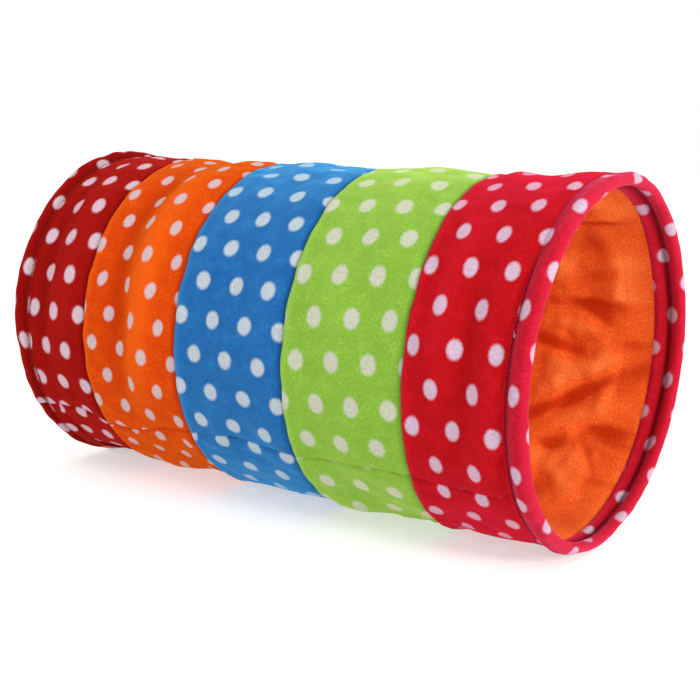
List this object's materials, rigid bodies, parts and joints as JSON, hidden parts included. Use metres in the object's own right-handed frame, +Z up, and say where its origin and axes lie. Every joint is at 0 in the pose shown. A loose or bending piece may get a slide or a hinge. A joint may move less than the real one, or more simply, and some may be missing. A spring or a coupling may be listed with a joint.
{
  "type": "soft play tunnel",
  "caption": "Soft fabric tunnel for cats and small pets: dotted fleece bays between hidden wire hoops, an open passage with plain lining, and bays that fold together along its length.",
  "frame": {"origin": "bottom centre of the tunnel's box, on the floor it lies on", "axes": "+X along the passage to the turned, crimson end; +Z up; +Y to the back, away from the side seam"},
  "size_m": [0.524, 0.3, 0.2985],
  "materials": {
    "fleece_dark_red": "anti-pill fleece with white dots",
    "fleece_orange": "anti-pill fleece with white dots",
    "fleece_blue": "anti-pill fleece with white dots",
    "fleece_green": "anti-pill fleece with white dots",
    "fleece_crimson": "anti-pill fleece with white dots",
    "lining_orange": "plain fleece, napped side inwards",
    "crinkle_film": "thin clear film, slightly milky",
    "hoop_wire": "drawn spring wire",
    "ferrule_steel": "zinc-plated, crimped",
    "casing_tape": "woven tape"
  },
  "bodies": {
    "left_end": {"hem_left": "fleece_dark_red", "hoop_left": "hoop_wire", "ferrule_left": "ferrule_steel", "panel_dark_red": "fleece_dark_red", "film_1": "crinkle_film", "lining_1": "lining_orange"},
    "ring_1": {"casing_1": "casing_tape", "hoop_1": "hoop_wire", "ferrule_1": "ferrule_steel", "panel_orange": "fleece_orange", "film_2": "crinkle_film", "lining_2": "lining_orange"},
    "ring_2": {"casing_2": "casing_tape", "hoop_2": "hoop_wire", "ferrule_2": "ferrule_steel", "panel_blue": "fleece_blue", "film_3": "crinkle_film", "lining_3": "lining_orange"},
    "ring_3": {"casing_3": "casing_tape", "hoop_3": "hoop_wire", "ferrule_3": "ferrule_steel", "panel_green": "fleece_green", "film_4": "crinkle_film", "lining_4": "lining_orange"},
    "ring_4": {"casing_4": "casing_tape", "hoop_4": "hoop_wire", "ferrule_4": "ferrule_steel", "panel_crimson": "fleece_crimson", "film_5": "crinkle_film", "lining_5": "lining_orange"},
    "right_end": {"hem_right": "fleece_crimson", "hoop_right": "hoop_wire", "ferrule_right": "ferrule_steel"}
  },
  "joints": [
    {"name": "bay_1_fold", "type": "slide", "parent": "left_end", "child": "ring_1", "axis": [1, 0, 0], "range_m": [-0.046, 0], "deforming": ["panel_dark_red", "film_1", "lining_1"]},
    {"name": "bay_2_fold", "type": "slide", "parent": "ring_1", "child": "ring_2", "axis": [1, 0, 0], "range_m": [-0.082, 0], "deforming": ["panel_orange", "film_2", "lining_2"]},
    {"name": "bay_3_fold", "type": "slide", "parent": "ring_2", "child": "ring_3", "axis": [1, 0, 0], "range_m": [-0.087, 0], "deforming": ["panel_blue", "film_3", "lining_3"]},
    {"name": "bay_4_fold", "type": "slide", "parent": "ring_3", "child": "ring_4", "axis": [1, 0, 0], "range_m": [-0.086, 0], "deforming": ["panel_green", "film_4", "lining_4"]},
    {"name": "bay_5_fold", "type": "slide", "parent": "ring_4", "child": "right_end", "axis": [1, 0, 0], "range_m": [-0.058, 0], "deforming": ["panel_crimson", "film_5", "lining_5"]}
  ]
}
